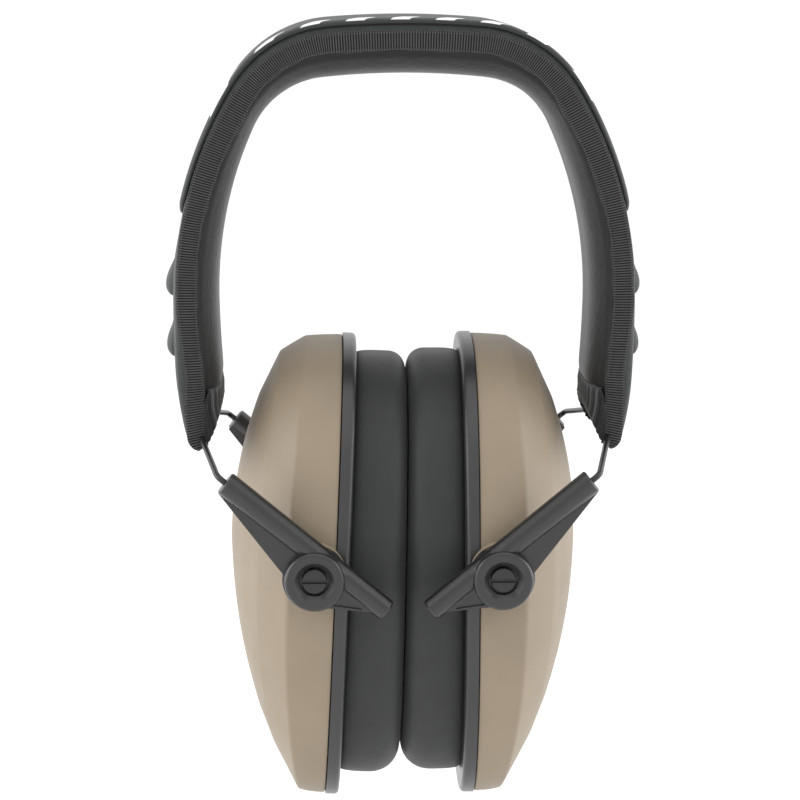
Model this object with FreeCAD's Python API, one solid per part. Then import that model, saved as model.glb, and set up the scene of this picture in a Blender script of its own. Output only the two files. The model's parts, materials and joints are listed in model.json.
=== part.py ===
import FreeCAD, Part
import math
import os

from FreeCAD import Placement, Rotation, Vector

# Earmuff hearing protector. Millimetres. Origin: middle of the headband's underside, where the
# crown of the head bears. +X the wearer's left-to-right line, +Y to the back, +Z up.
# Everything is drawn for the left side (X < 0) and mirrored where a right-hand piece exists.

os.makedirs("parts", exist_ok=True)

# ---- headband ------------------------------------------------------------------------------
BAND_TOP_Z = 11.9                       # outer face of the cover at the crown
OUTER_ARCS = [(215.6, 4.7), (28.7, 54.1), (92.8, 30.6), (332.0, 3.7), (70.0, 12.0)]
INNER_ARCS = [(177.2, 6.15), (20.0, 59.2), (96.0, 25.99), (273.3, 4.9)]   # radius, degrees
BAND_HALF_TOP = 22.5                    # half width in Y at the crown
BAND_HALF_END = 19.0                    # half width in Y at the hinge ends
COVER_T = 1.5                           # woven outer cover
BINDING_LOW = 5.8                       # depth at which binding meets lining
EDGE_T = 1.2                            # binding and lining thickness on the side faces
LINING_T = 1.2
# underside of the padding across its width: Y, rise
PAD_CROWN = [(-23.5, 7.4), (-19.5, 2.7), (-12.0, 0.6), (0.0, 0.0), (12.0, 0.6), (19.5, 2.7), (23.5, 7.4)]
SPRING_T, SPRING_HALF = 0.8, 11.0
SPRING_DEPTH = 1.7                      # under the outer line
PLATE_T = 1.2                           # moulded crown plate
PLATE_END_Z, PLATE_CORNER_R = -32.0, 6.5
RIB_Z = (-48.6, -63.0)                  # grip ribs on each leg
RIB_H, RIB_PROUD, RIB_HALF = 7.4, 2.0, 13.0
TIP = [(-40.5, -66.0), (-42.4, -72.0), (-43.3, -77.5), (-45.3, -83.6), (-48.2, -87.2),
       (-51.2, -84.2), (-52.6, -78.0), (-54.5, -66.0)]
DASH_COUNT, DASH_PITCH = 9, 10.2        # pale dashes on the crown plate
DASH_LEN, DASH_W, DASH_LEAN, DASH_SINK = 7.0, 5.0, 3.2, 0.25
DASH_Y = -17.4                          # middle of the row, near the front edge

# ---- wire yoke -----------------------------------------------------------------------------
WIRE_R = 0.7
HINGE = (-47.3, -84.2)                  # X, Z of the yoke's hinge line
BLOCK_INSET, BLOCK_HALF, BLOCK_TOP_Z = 1.5, 13.4, -66.0     # hinge block inside each end
WIRE_BEND_Y = 20.6                      # where a leg leaves the hinge line
WIRE_IN_TUBE = 38.0
BORE_FIT = 0.05                         # radial running clearance

# ---- arms ----------------------------------------------------------------------------------
ARM_ANGLE = 39.2                        # below the horizontal
MOUTH = (-41.4, -90.0)                  # X, Z of the tube's open end
TUBE_Y = 44.5                           # distance of the tube's axis from the mid-plane
TUBE_LEN, TUBE_R, TUBE_R_END = 47.0, 2.85, 2.55
BOSS_ALONG, BOSS_BELOW = 29.7, 4.7      # pivot boss centre in the arm's own plane
BOSS_R, FLANGE_R = 6.8, 7.4
BOSS_FACE_Y, FLANGE_FACE_Y, ARM_BACK_Y = 48.0, 44.4, 41.65
SINK_R, RECESS_R, RECESS_FLOOR_Y = 4.45, 3.3, 45.3
SCREW_HEAD_R, SCREW_R, SCREW_TOP_Y = 2.9, 1.6, 47.1

# ---- cup, drawn upright about the rim plate's inner face, then tilted -------------------------
CUP_AT = (-13.4, -118.6)                # X, Z of the middle of the rim plate's inner face
CUP_TILT = 1.33                         # cushion faces stand upright, shells splay out at the top
CUP_LEAN = 1.15                         # the closed pair leans this much on its pivots, tops to +X
RIM_T = 3.1
RIM_TOP, RIM_BOTTOM, RIM_HALF_W = 56.2, -55.4, 39.8
SHELL_WALL = 2.3
# distance out from the rim's inner face, top, bottom, half width
SHELL_WALLS = [(3.1, 55.9, -55.2, 39.6), (6.0, 55.9, -55.2, 39.5), (9.0, 55.8, -54.4, 39.3),
               (12.4, 55.4, -50.6, 38.9)]
SHELL_DOME = [(12.4, 55.4, -50.6, 38.9), (15.5, 54.0, -44.8, 36.6), (18.5, 51.0, -37.4, 32.4),
              (21.5, 44.8, -29.2, 27.4), (24.0, 38.0, -20.6, 22.0), (26.0, 29.0, -11.8, 16.0),
              (27.4, 21.0, -1.0, 9.0), (28.1, 14.0, 6.0, 3.5)]
EGG = 0.05                              # the cup is a little wider above its middle
CUSHION_TOP, CUSHION_BOTTOM, CUSHION_HALF_W = 52.3, -49.8, 34.6
EAR_TOP, EAR_BOTTOM, EAR_HALF_W = 33.8, -32.2, 19.5     # opening for the ear
CUSHION_GAP = 0.18                      # from the mid-plane
CUSHION_ROUND, EAR_ROUND = 4.6, 3.6
CUSHION_PLATE_T = 1.4
BOSS_STAND_Y = 40.9                     # face of the pivot pad on the shell
WASHER_T, WASHER_R = 0.4, 4.2


def save(name, *shapes):
    shape = shapes[0] if len(shapes) == 1 else Part.makeCompound(list(shapes))
    shape.exportStep("parts/%s.step" % name)


def mirrored(shape):
    return shape.mirror(Vector(0, 0, 0), Vector(1, 0, 0))


def both_sides(name, left):
    save("left_" + name, left)
    save("right_" + name, mirrored(left))


def back_to_front(shape):
    return shape.mirror(Vector(0, 0, 0), Vector(0, 1, 0))


# ---- headband sections ---------------------------------------------------------------------
def half_arch(z0, arcs, depth):
    """Edges of one half of the arch, from the crown down the +X leg, moved inwards by depth."""
    x, z, turn, edges = 0.0, z0, 0.0, []

    def at(px, pz, a):
        return Vector(px - depth * math.sin(a), 0, pz - depth * math.cos(a))

    for radius, degrees in arcs:
        span = math.radians(degrees)
        points = []
        for a in (turn, turn + span / 2, turn + span):
            px = x + radius * (math.sin(a) - math.sin(turn))
            pz = z - radius * (math.cos(turn) - math.cos(a))
            points.append(at(px, pz, a))
        edges.append(Part.Arc(*points).toShape())
        x += radius * (math.sin(turn + span) - math.sin(turn))
        z -= radius * (math.cos(turn) - math.cos(turn + span))
        turn += span
    return edges, points[-1]


def arch_edges(z0, arcs, depth):
    right, end = half_arch(z0, arcs, depth)
    left = [e.mirror(Vector(0, 0, 0), Vector(1, 0, 0)) for e in right]
    return left[::-1] + right, Vector(-end.x, 0, end.z), end


def arch_slab(outer, inner, half_y):
    """Solid between two arch lines, each given as (z0, arcs, depth)."""
    outer_edges, ol, orr = arch_edges(*outer)
    inner_edges, il, ir = arch_edges(*inner)
    edges = outer_edges + inner_edges + [Part.makeLine(ol, il), Part.makeLine(orr, ir)]
    wire = Part.Wire(Part.__sortEdges__(edges))
    face = Part.Face(wire)
    face.translate(Vector(0, -half_y, 0))
    return face.extrude(Vector(0, 2 * half_y, 0))


def outer_line(depth):
    return (BAND_TOP_Z, OUTER_ARCS, depth)


def inner_line(inset):
    return (0.0, INNER_ARCS, -inset)


def envelope(inset):
    """Band width seen from the side: full at the crown, narrower at the hinge ends."""
    top, end = BAND_HALF_TOP - inset, BAND_HALF_END - inset
    mid = 0.62 * top + 0.38 * end
    side = Part.Arc(Vector(0, -top, 20), Vector(0, -mid, -45), Vector(0, -end, -95)).toShape()
    other = side.mirror(Vector(0, 0, 0), Vector(0, 1, 0))
    edges = [side, other, Part.makeLine(Vector(0, -top, 20), Vector(0, top, 20)),
             Part.makeLine(Vector(0, -end, -95), Vector(0, end, -95))]
    face = Part.Face(Part.Wire(Part.__sortEdges__(edges)))
    face.translate(Vector(-80, 0, 0))
    return face.extrude(Vector(160, 0, 0))


def tip_mask(inset):
    """Rounded lower end of the left leg, continued straight up, as a bar along Y."""
    cx = sum(p[0] for p in TIP) / len(TIP)
    points = []
    for x, z in TIP:
        if z > -70:
            points.append(Vector(x + (inset if x > cx else -inset) * -1, 0, z))
            continue
        dx, dz = x - cx, z + 76.0
        length = math.hypot(dx, dz)
        points.append(Vector(x - inset * dx / length, 0, z - inset * dz / length))
    curve = Part.BSplineCurve()
    curve.interpolate(points)
    a, b = points[0], points[-1]
    up_a, up_b = Vector(a.x, 0, -60), Vector(b.x, 0, -60)
    face = Part.Face(Part.Wire([curve.toShape(), Part.makeLine(b, up_b), Part.makeLine(up_b, up_a),
                                Part.makeLine(up_a, a)]))
    face.translate(Vector(0, -40, 0))
    return face.extrude(Vector(0, 80, 0))


def box(x0, x1, y0, y1, z0, z1):
    return Part.makeBox(x1 - x0, y1 - y0, z1 - z0, Vector(x0, y0, z0))


def rod(r, start, end):
    axis = end - start
    return Part.makeCylinder(r, axis.Length, start, axis)


def halves(shape):
    front = [s for s in shape.Solids if s.CenterOfMass.y < 0]
    back = [s for s in shape.Solids if s.CenterOfMass.y >= 0]
    return front, back


mask = tip_mask(0.0)
keep = mask.fuse(mirrored(mask)).fuse(box(-80, 80, -40, 40, TIP[0][1], 40))
hinge_hole = rod(WIRE_R + 1.0, Vector(HINGE[0], -40, HINGE[1]), Vector(HINGE[0], 40, HINGE[1]))
hinge_holes = hinge_hole.fuse(mirrored(hinge_hole))
full, inset1 = envelope(0.0), envelope(EDGE_T)

# the hinge block fills the tip; everything soft stops above it or goes round it
block = tip_mask(BLOCK_INSET)
block = block.common(box(-80, -30, -BLOCK_HALF, BLOCK_HALF, -100, BLOCK_TOP_Z))
block = block.cut(arch_slab(outer_line(-6.0), outer_line(SPRING_DEPTH + SPRING_T), 40))
block = block.common(arch_slab(outer_line(0.5), inner_line(LINING_T + 0.1), 40))
block = block.cut(rod(WIRE_R + BORE_FIT, Vector(HINGE[0], -40, HINGE[1]),
                      Vector(HINGE[0], 40, HINGE[1])))
block_room = tip_mask(BLOCK_INSET - 0.2)
block_room = block_room.common(box(-80, -30, -BLOCK_HALF - 0.2, BLOCK_HALF + 0.2, -100, BLOCK_TOP_Z))
block_rooms = block_room.fuse(mirrored(block_room))

cover = arch_slab(outer_line(0.0), outer_line(COVER_T), 40).common(full).common(keep)
cover = cover.cut(hinge_holes)
save("outer_cover", cover)

binding = arch_slab(outer_line(COVER_T), outer_line(BINDING_LOW), 40).common(full)
binding = binding.cut(inset1).common(keep).cut(hinge_holes)
front, back = halves(binding)
save("front_binding", *front)
save("rear_binding", *back)


def padding(depth, inset):
    """Padding below a depth, its underside crowned across the width, inset all round."""
    right, end = half_arch(*inner_line(inset))
    left = [e.mirror(Vector(0, 0, 0), Vector(1, 0, 0)) for e in right]
    path = Part.Wire(left[::-1] + right)
    start = Vector(-end.x, 0, end.z)
    turn = math.radians(sum(degrees for _, degrees in INNER_ARCS))
    outward = Vector(-math.sin(turn), 0, math.cos(turn))
    points = [start + outward * n + Vector(0, y + math.copysign(inset, -y) if y else 0, 0)
              for y, n in PAD_CROWN]
    curve = Part.BSplineCurve()
    curve.interpolate(points)
    a, b = points[0], points[-1]
    high_a, high_b = a + outward * 9, b + outward * 9
    section = Part.Wire([curve.toShape(), Part.makeLine(b, high_b), Part.makeLine(high_b, high_a),
                         Part.makeLine(high_a, a)])
    pipe = Part.BRepOffsetAPI.MakePipeShell(path)
    pipe.setBiNormalMode(Vector(0, 1, 0))
    pipe.add(section)
    pipe.build()
    pipe.makeSolid()
    slab = arch_slab(outer_line(depth), inner_line(inset - 2.0), 40)
    return pipe.shape().common(slab).common(envelope(inset))


lining = padding(BINDING_LOW, 0.0)
core = padding(BINDING_LOW - 2.0, LINING_T)
lining = lining.cut(core).cut(block_rooms).common(keep).cut(hinge_holes)
save("inner_lining", lining)

# gathered cloth wrapped round each hinge end, over the lining
wrap = tip_mask(-0.9).cut(tip_mask(0.0)).common(box(-49.8, -30, -14.5, 14.5, -100, -73.5))
both_sides("end_gather", wrap)

spring = arch_slab(outer_line(SPRING_DEPTH), outer_line(SPRING_DEPTH + SPRING_T), SPRING_HALF)
spring = spring.cut(box(-80, 80, -40, 40, -120, -79.0))
rivet_z, rivet_y, rivet_r = -73.5, 6.5, 1.4
rivets = [rod(rivet_r, Vector(-50.9, y, rivet_z), Vector(-45.2, y, rivet_z)) for y in (-rivet_y, rivet_y)]
drills = rivets[0].fuse(rivets[1])
spring = spring.cut(drills).cut(mirrored(drills))
save("spring_band", spring)
both_sides("hinge_block", block.cut(drills))
both_sides("hinge_rivets", Part.makeCompound(rivets))

foam = padding(SPRING_DEPTH + SPRING_T, LINING_T)
foam = foam.cut(box(-80, 80, -40, 40, -120, -65.5))
save("headband_foam", foam)

# ---- crown plate with its dashes -------------------------------------------------------------
plate = arch_slab(outer_line(-PLATE_T), outer_line(0.0), 40).common(envelope(0.4))
outline = box(-80, 80, -BAND_HALF_TOP, BAND_HALF_TOP, PLATE_END_Z, 40)
plate = plate.common(outline.makeFillet(PLATE_CORNER_R, [e for e in outline.Edges
                     if e.BoundBox.XLength > 100 and e.BoundBox.ZMax < 0]))


def dash(index):
    x = (index - (DASH_COUNT - 1) / 2) * DASH_PITCH
    a = [(x - DASH_W / 2 - DASH_LEAN / 2, -DASH_LEN / 2), (x + DASH_W / 2 - DASH_LEAN / 2, -DASH_LEN / 2),
         (x + DASH_W / 2 + DASH_LEAN / 2, DASH_LEN / 2), (x - DASH_W / 2 + DASH_LEAN / 2, DASH_LEN / 2)]
    wire = Part.makePolygon([Vector(px, py + DASH_Y, -20) for px, py in a + a[:1]])
    return Part.Face(wire).extrude(Vector(0, 0, 60))


skin = arch_slab(outer_line(-PLATE_T), outer_line(-PLATE_T + DASH_SINK), 40)
dashes = [dash(i).common(skin) for i in range(DASH_COUNT)]
for piece in dashes:
    plate = plate.cut(piece)
save("crown_plate", plate)
save("crown_plate_dashes", *dashes)


def grip_rib(z):
    """Rounded rib standing on the cover of the left leg."""
    line = arch_slab(outer_line(-RIB_PROUD), outer_line(0.0), RIB_HALF)
    bar = line.common(box(-80, -40, -RIB_HALF, RIB_HALF, z - RIB_H / 2, z + RIB_H / 2))
    outer = [e for e in bar.Edges if abs(e.BoundBox.YMax - e.BoundBox.YMin) > 20
             and e.CenterOfMass.x < -54.0]
    return bar.makeFillet(1.7, outer)


ribs = [grip_rib(z) for z in RIB_Z]
both_sides("grip_ribs", Part.makeCompound(ribs))

# ---- wire yoke -----------------------------------------------------------------------------
down = Vector(math.cos(math.radians(ARM_ANGLE)), 0, -math.sin(math.radians(ARM_ANGLE)))
below = Vector(-math.sin(math.radians(ARM_ANGLE)), 0, -math.cos(math.radians(ARM_ANGLE)))


def rounded_path(points, radii):
    edges, start = [], points[0]
    for i, r in enumerate(radii, 1):
        into = (points[i] - points[i - 1]).normalize()
        out = (points[i + 1] - points[i]).normalize()
        turn = into.getAngle(out)
        back = r * math.tan(turn / 2)
        a, b = points[i] - into * back, points[i] + out * back
        middle = (out - into).normalize()
        centre = points[i] + middle * (r / math.cos(turn / 2))
        edges += [Part.makeLine(start, a), Part.Arc(a, centre - middle * r, b).toShape()]
        start = b
    return Part.Wire(edges + [Part.makeLine(start, points[-1])])


def wire_leg(side):
    mouth = Vector(MOUTH[0], side * TUBE_Y, MOUTH[1])
    path = rounded_path([Vector(HINGE[0], 0, HINGE[1]), Vector(HINGE[0], side * WIRE_BEND_Y, HINGE[1]),
                         mouth - down * 2.2, mouth + down * WIRE_IN_TUBE], [2.2, 1.9])
    profile = Part.Wire(Part.makeCircle(WIRE_R, Vector(HINGE[0], 0, HINGE[1]), Vector(0, side, 0)))
    return path.makePipeShell([profile], True, False)


wire = wire_leg(-1).fuse(wire_leg(1)).removeSplitter()
both_sides("yoke_wire", wire)


# ---- arms ----------------------------------------------------------------------------------
def prism(points, y_front, y_back):
    wire = Part.makePolygon([Vector(a, -y_front, b) for a, b in points + points[:1]])
    return Part.Face(wire).extrude(Vector(0, y_front - y_back, 0))


def disc(r, a, b, y_front, y_back, r_back=None):
    depth = y_front - y_back
    base, axis = Vector(a, -y_front, b), Vector(0, 1, 0)
    if r_back is None:
        return Part.makeCylinder(r, depth, base, axis)
    return Part.makeCone(r, r_back, depth, base, axis)


def front_arm():
    """Drawn along +X from the tube's mouth, then turned down to the arm's angle."""
    bx, bz = BOSS_ALONG, -BOSS_BELOW
    tube = Part.makeCone(TUBE_R, TUBE_R_END, TUBE_LEN, Vector(0, -TUBE_Y, 0), Vector(1, 0, 0))
    rims = [e for e in tube.Edges if e.Length < 19 and len(e.Vertexes) == 1]
    tube = tube.makeChamfer(0.35, rims)
    saddle = prism([(0.35, 0), (0.35, -TUBE_R), (TUBE_LEN - 0.5, -TUBE_R_END), (TUBE_LEN - 0.5, 0)],
                   TUBE_Y, ARM_BACK_Y + 0.4)
    web = prism([(0.35, -1.0), (0.35, -TUBE_R), (bx - 6.0, bz - 3.6), (bx, bz), (bx, -1.0)],
                TUBE_Y + 0.2, ARM_BACK_Y + 0.6)
    small_web = prism([(bx, -1.0), (bx, bz), (bx + 4.6, bz - 4.2), (TUBE_LEN - 3.2, -TUBE_R_END - 0.1),
                       (TUBE_LEN - 1.5, -1.0)], TUBE_Y + 1.4, ARM_BACK_Y + 0.6)
    pocket = prism([(bx + 7.2, -2.9), (bx + 6.4, -6.9), (TUBE_LEN - 4.6, -3.1)],
                   TUBE_Y + 2.0, TUBE_Y + 0.7)
    boss = disc(BOSS_R, bx, bz, BOSS_FACE_Y, ARM_BACK_Y)
    boss = boss.makeFillet(0.9, [e for e in boss.Edges if e.BoundBox.YMax < -BOSS_FACE_Y + 0.1
                                 and len(e.Vertexes) == 1])
    flange = disc(FLANGE_R, bx, bz, FLANGE_FACE_Y, ARM_BACK_Y)
    flange = flange.makeFillet(0.5, [e for e in flange.Edges if e.BoundBox.YMax < -FLANGE_FACE_Y + 0.1
                                     and len(e.Vertexes) == 1])
    arm = tube.fuse([saddle, web, small_web.cut(pocket), flange, boss])
    arm = arm.cut(disc(SINK_R, bx, bz, BOSS_FACE_Y, BOSS_FACE_Y - 1.2, RECESS_R))
    arm = arm.cut(disc(RECESS_R, bx, bz, BOSS_FACE_Y, RECESS_FLOOR_Y))
    arm = arm.cut(disc(SCREW_R + 0.06, bx, bz, BOSS_FACE_Y, 30))
    arm = arm.cut(rod(WIRE_R + BORE_FIT, Vector(-1, -TUBE_Y, 0), Vector(WIRE_IN_TUBE + 2.5, -TUBE_Y, 0)))
    arm = arm.removeSplitter()
    arm.Placement = Placement(Vector(MOUTH[0], 0, MOUTH[1]), Rotation(Vector(0, 1, 0), ARM_ANGLE))
    return arm


arm = front_arm()
both_sides("front_arm", arm)
both_sides("rear_arm", back_to_front(arm))

PIVOT = Vector(MOUTH[0], 0, MOUTH[1]) + down * BOSS_ALONG + below * BOSS_BELOW


def pivot_disc(r, y_front, y_back):
    return Part.makeCylinder(r, y_front - y_back, Vector(PIVOT.x, -y_front, PIVOT.z), Vector(0, 1, 0))


def screw():
    under_head = RECESS_FLOOR_Y + 0.35
    head = pivot_disc(SCREW_HEAD_R, SCREW_TOP_Y, under_head)
    top = [e for e in head.Edges if e.BoundBox.YMax < -SCREW_TOP_Y + 0.1 and len(e.Vertexes) == 1]
    head = head.makeFillet(0.4, top)
    slot = box(PIVOT.x - 5, PIVOT.x + 5, -SCREW_TOP_Y - 1, -SCREW_TOP_Y + 0.8,
               PIVOT.z - 0.45, PIVOT.z + 0.45)
    return head.fuse(pivot_disc(SCREW_R, under_head, 34.5)).cut(slot).removeSplitter()


screws = [screw(), back_to_front(screw())]
both_sides("pivot_screws", Part.makeCompound(screws))
washer = pivot_disc(WASHER_R, BOSS_STAND_Y + WASHER_T, BOSS_STAND_Y).cut(pivot_disc(SCREW_R, 50, 30))
both_sides("pivot_washers", Part.makeCompound([washer, back_to_front(washer)]))


# ---- cup -----------------------------------------------------------------------------------
def cup_outline(out, top, bottom, half_w, count=20, power=2.35, egg=EGG):
    """Closed egg outline in the plane at distance out from the rim's inner face (left cup)."""
    mid, half_h = (top + bottom) / 2, (top - bottom) / 2
    points = []
    for i in range(count):
        a = 2 * math.pi * i / count
        c, s = math.cos(a), math.sin(a)
        y = half_w * math.copysign(abs(c) ** (2 / power), c) * (1 + egg * s)
        z = mid + half_h * math.copysign(abs(s) ** (2 / power), s)
        points.append(Vector(-out, y, z))
    curve = Part.BSplineCurve()
    curve.interpolate(Points=points, PeriodicFlag=True)
    return Part.Wire(curve.toShape())


def oval_prism(out0, out1, outline, grow=0.0):
    """Prism between two distances out; outline is (top, bottom, half width), grown all round."""
    top, bottom, half_w = outline
    face = Part.Face(cup_outline(out0, top + grow, bottom - grow, half_w + grow))
    return face.extrude(Vector(out0 - out1, 0, 0))


RIM = (RIM_TOP, RIM_BOTTOM, RIM_HALF_W)
CUSHION = (CUSHION_TOP, CUSHION_BOTTOM, CUSHION_HALF_W)
EAR = (EAR_TOP, EAR_BOTTOM, EAR_HALF_W)


def place_cup(shape):
    shape = shape.copy()
    shape.rotate(Vector(0, 0, 0), Vector(0, 1, 0), CUP_TILT)
    shape.translate(Vector(CUP_AT[0], 0, CUP_AT[1]))
    return shape


def save_leaning(name, left):
    """Both cups' copies of a piece, each turned a little about its own pivot."""
    for side, shape, x in (("left_", left.copy(), PIVOT.x), ("right_", mirrored(left), -PIVOT.x)):
        shape.rotate(Vector(x, 0, PIVOT.z), Vector(0, 1, 0), CUP_LEAN)
        save(side + name, shape)


def shell_loft(levels):
    return Part.makeLoft([cup_outline(*level) for level in levels], True, False)


def thinner(levels):
    return [(out - SHELL_WALL, top - SHELL_WALL, bottom + SHELL_WALL, half - SHELL_WALL)
            for out, top, bottom, half in levels]


outer_body = shell_loft(SHELL_WALLS).fuse(shell_loft(SHELL_DOME))
inner_walls = thinner(SHELL_WALLS)
inner_walls[0] = (RIM_T - 1.0,) + inner_walls[0][1:]
cavity = shell_loft(inner_walls).fuse(shell_loft(thinner(SHELL_DOME[:-1])))
shell = outer_body.cut(cavity)
shell = place_cup(shell)
pads = pivot_disc(FLANGE_R - 0.2, BOSS_STAND_Y, 37.6).fuse(pivot_disc(3.4, 38, 34.0))
pads = pads.fuse(back_to_front(pads)).cut(place_cup(oval_prism(-3, RIM_T, RIM, 5)))
shell = shell.fuse(pads).cut(pivot_disc(SCREW_R, 60, 20)).cut(back_to_front(pivot_disc(SCREW_R, 60, 20)))
shell = shell.removeSplitter()
save_leaning("cup_shell", shell)

rim = oval_prism(0, RIM_T, RIM)
rim = rim.makeFillet(1.1, [e for e in rim.Edges if abs(e.BoundBox.XMax) < 0.05])
rim = rim.cut(oval_prism(-1, RIM_T + 1, EAR, 3.5))
save_leaning("rim_plate", place_cup(rim))

plate_ring = oval_prism(-CUSHION_PLATE_T, 0, CUSHION, -1.5)
collar = oval_prism(0, RIM_T + 0.3, EAR, 3.4)
plate_ring = plate_ring.fuse(collar).cut(oval_prism(-5, 9, EAR, 1.6))
plate_ring = plate_ring.removeSplitter()
save_leaning("cushion_plate", place_cup(plate_ring))

cushion = oval_prism(-22, 0, CUSHION)
cushion = place_cup(cushion).cut(box(-CUSHION_GAP, 60, -60, 60, -220, 0))
cushion = cushion.makeFillet(CUSHION_ROUND, [e for e in cushion.Edges
                                             if e.BoundBox.XMin > -CUSHION_GAP - 0.01])
hole = place_cup(oval_prism(-22, 5, EAR))
cushion = cushion.cut(hole)
inner_edges = [e for e in cushion.Edges if e.BoundBox.XMin > -CUSHION_GAP - 0.01
               and e.BoundBox.ZLength < EAR_TOP - EAR_BOTTOM + 2]
try:
    cushion = cushion.makeFillet(EAR_ROUND, inner_edges)
except Exception as problem:
    print("ear opening left square:", problem)
seat = oval_prism(-CUSHION_PLATE_T, 0.5, CUSHION, -1.5)
cushion = cushion.cut(place_cup(seat.cut(oval_prism(-5, 9, EAR, 1.6))))
save_leaning("ear_cushion", cushion)

cloth = oval_prism(RIM_T + 0.3, RIM_T + 1.1, EAR, 7.0)
save_leaning("insert_cloth", place_cup(cloth))
insert = oval_prism(RIM_T + 1.1, RIM_T + 8.0, EAR, 9.0)
save_leaning("foam_insert", place_cup(insert))
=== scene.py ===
import json
import math

import bpy
import numpy as np
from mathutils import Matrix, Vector


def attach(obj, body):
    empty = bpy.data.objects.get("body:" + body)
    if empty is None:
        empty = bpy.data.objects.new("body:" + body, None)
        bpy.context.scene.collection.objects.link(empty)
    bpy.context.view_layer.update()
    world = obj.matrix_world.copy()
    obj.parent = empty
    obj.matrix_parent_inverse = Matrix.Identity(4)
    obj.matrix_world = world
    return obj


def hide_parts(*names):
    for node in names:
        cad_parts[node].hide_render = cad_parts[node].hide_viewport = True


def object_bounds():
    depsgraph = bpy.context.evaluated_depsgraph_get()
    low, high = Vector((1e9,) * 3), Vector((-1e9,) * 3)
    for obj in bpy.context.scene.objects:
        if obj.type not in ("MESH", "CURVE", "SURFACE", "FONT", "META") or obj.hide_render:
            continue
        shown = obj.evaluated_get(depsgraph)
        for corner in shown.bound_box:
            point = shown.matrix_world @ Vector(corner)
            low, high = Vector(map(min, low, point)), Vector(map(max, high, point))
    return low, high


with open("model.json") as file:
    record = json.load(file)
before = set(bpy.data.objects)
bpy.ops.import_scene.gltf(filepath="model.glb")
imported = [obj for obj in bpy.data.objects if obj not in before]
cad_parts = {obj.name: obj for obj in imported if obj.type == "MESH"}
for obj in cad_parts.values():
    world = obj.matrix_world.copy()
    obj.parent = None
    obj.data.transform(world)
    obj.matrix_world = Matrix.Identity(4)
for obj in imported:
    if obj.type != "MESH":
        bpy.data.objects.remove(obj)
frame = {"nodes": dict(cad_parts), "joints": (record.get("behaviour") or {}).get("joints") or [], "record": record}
cad_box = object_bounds()
MM = 0.001                               # the mesh code works in millimetres
RIB_PITCH, RIB_HEIGHT = 0.62, 0.26       # ribs of the binding tape
WAVE_REPEAT = 2 * math.pi / 20           # one period of a wave texture, in its own coordinate

# ---------------------------------------------------------------- materials
def material(name, color, rough=0.5, spec=0.5, sheen=0.0, coat=0.0, metal=0.0):
    """Principled material with a node tree; returns (material, shader, nodes, links)."""
    m = bpy.data.materials.new(name)
    m.use_nodes = True
    nt = m.node_tree
    b = nt.nodes["Principled BSDF"]
    b.inputs["Base Color"].default_value = (*color, 1)
    b.inputs["Roughness"].default_value = rough
    b.inputs["Specular IOR Level"].default_value = spec
    b.inputs["Metallic"].default_value = metal
    b.inputs["Sheen Weight"].default_value = sheen
    b.inputs["Sheen Roughness"].default_value = 0.45
    b.inputs["Coat Weight"].default_value = coat
    b.inputs["Coat Roughness"].default_value = 0.3
    return m, b, nt.nodes, nt.links


def noise(nodes, links, scale, detail, stretch=(1, 1, 1)):
    """Noise texture in the object's own coordinates, in metres."""
    tc = nodes.new("ShaderNodeTexCoord")
    mp = nodes.new("ShaderNodeMapping")
    mp.inputs["Scale"].default_value = stretch
    n = nodes.new("ShaderNodeTexNoise")
    n.inputs["Scale"].default_value = scale
    n.inputs["Detail"].default_value = detail
    n.inputs["Roughness"].default_value = 0.55
    links.new(tc.outputs["Object"], mp.inputs["Vector"])
    links.new(mp.outputs["Vector"], n.inputs["Vector"])
    return n


def ramp(nodes, links, source, lo, hi, p0=0.35, p1=0.65):
    """Colour from lo to hi as the source goes from p0 to p1."""
    r = nodes.new("ShaderNodeValToRGB")
    r.color_ramp.elements[0].position = p0
    r.color_ramp.elements[1].position = p1
    r.color_ramp.elements[0].color = (*lo, 1)
    r.color_ramp.elements[1].color = (*hi, 1)
    links.new(source, r.inputs["Fac"])
    return r


def vary_color(nodes, links, shader, color, amount, scale, detail=3.0):
    """Uneven colour, lighter and darker by the amount."""
    n = noise(nodes, links, scale, detail)
    lo = tuple(c * (1 - amount) for c in color)
    hi = tuple(c * (1 + amount) for c in color)
    r = ramp(nodes, links, n.outputs["Fac"], lo, hi)
    links.new(r.outputs["Color"], shader.inputs["Base Color"])


def vary_rough(nodes, links, shader, lo, hi, scale):
    """Uneven roughness between two values."""
    n = noise(nodes, links, scale, 3.0)
    mr = nodes.new("ShaderNodeMapRange")
    mr.inputs["To Min"].default_value = lo
    mr.inputs["To Max"].default_value = hi
    links.new(n.outputs["Fac"], mr.inputs["Value"])
    links.new(mr.outputs["Result"], shader.inputs["Roughness"])


def bump(nodes, links, shader, height, strength, distance, chain=None):
    """Bump from a height, over an earlier bump where one is given."""
    b = nodes.new("ShaderNodeBump")
    b.inputs["Strength"].default_value = strength
    b.inputs["Distance"].default_value = distance
    links.new(height, b.inputs["Height"])
    if chain is not None:
        links.new(chain.outputs["Normal"], b.inputs["Normal"])
    links.new(b.outputs["Normal"], shader.inputs["Normal"])
    return b


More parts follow.
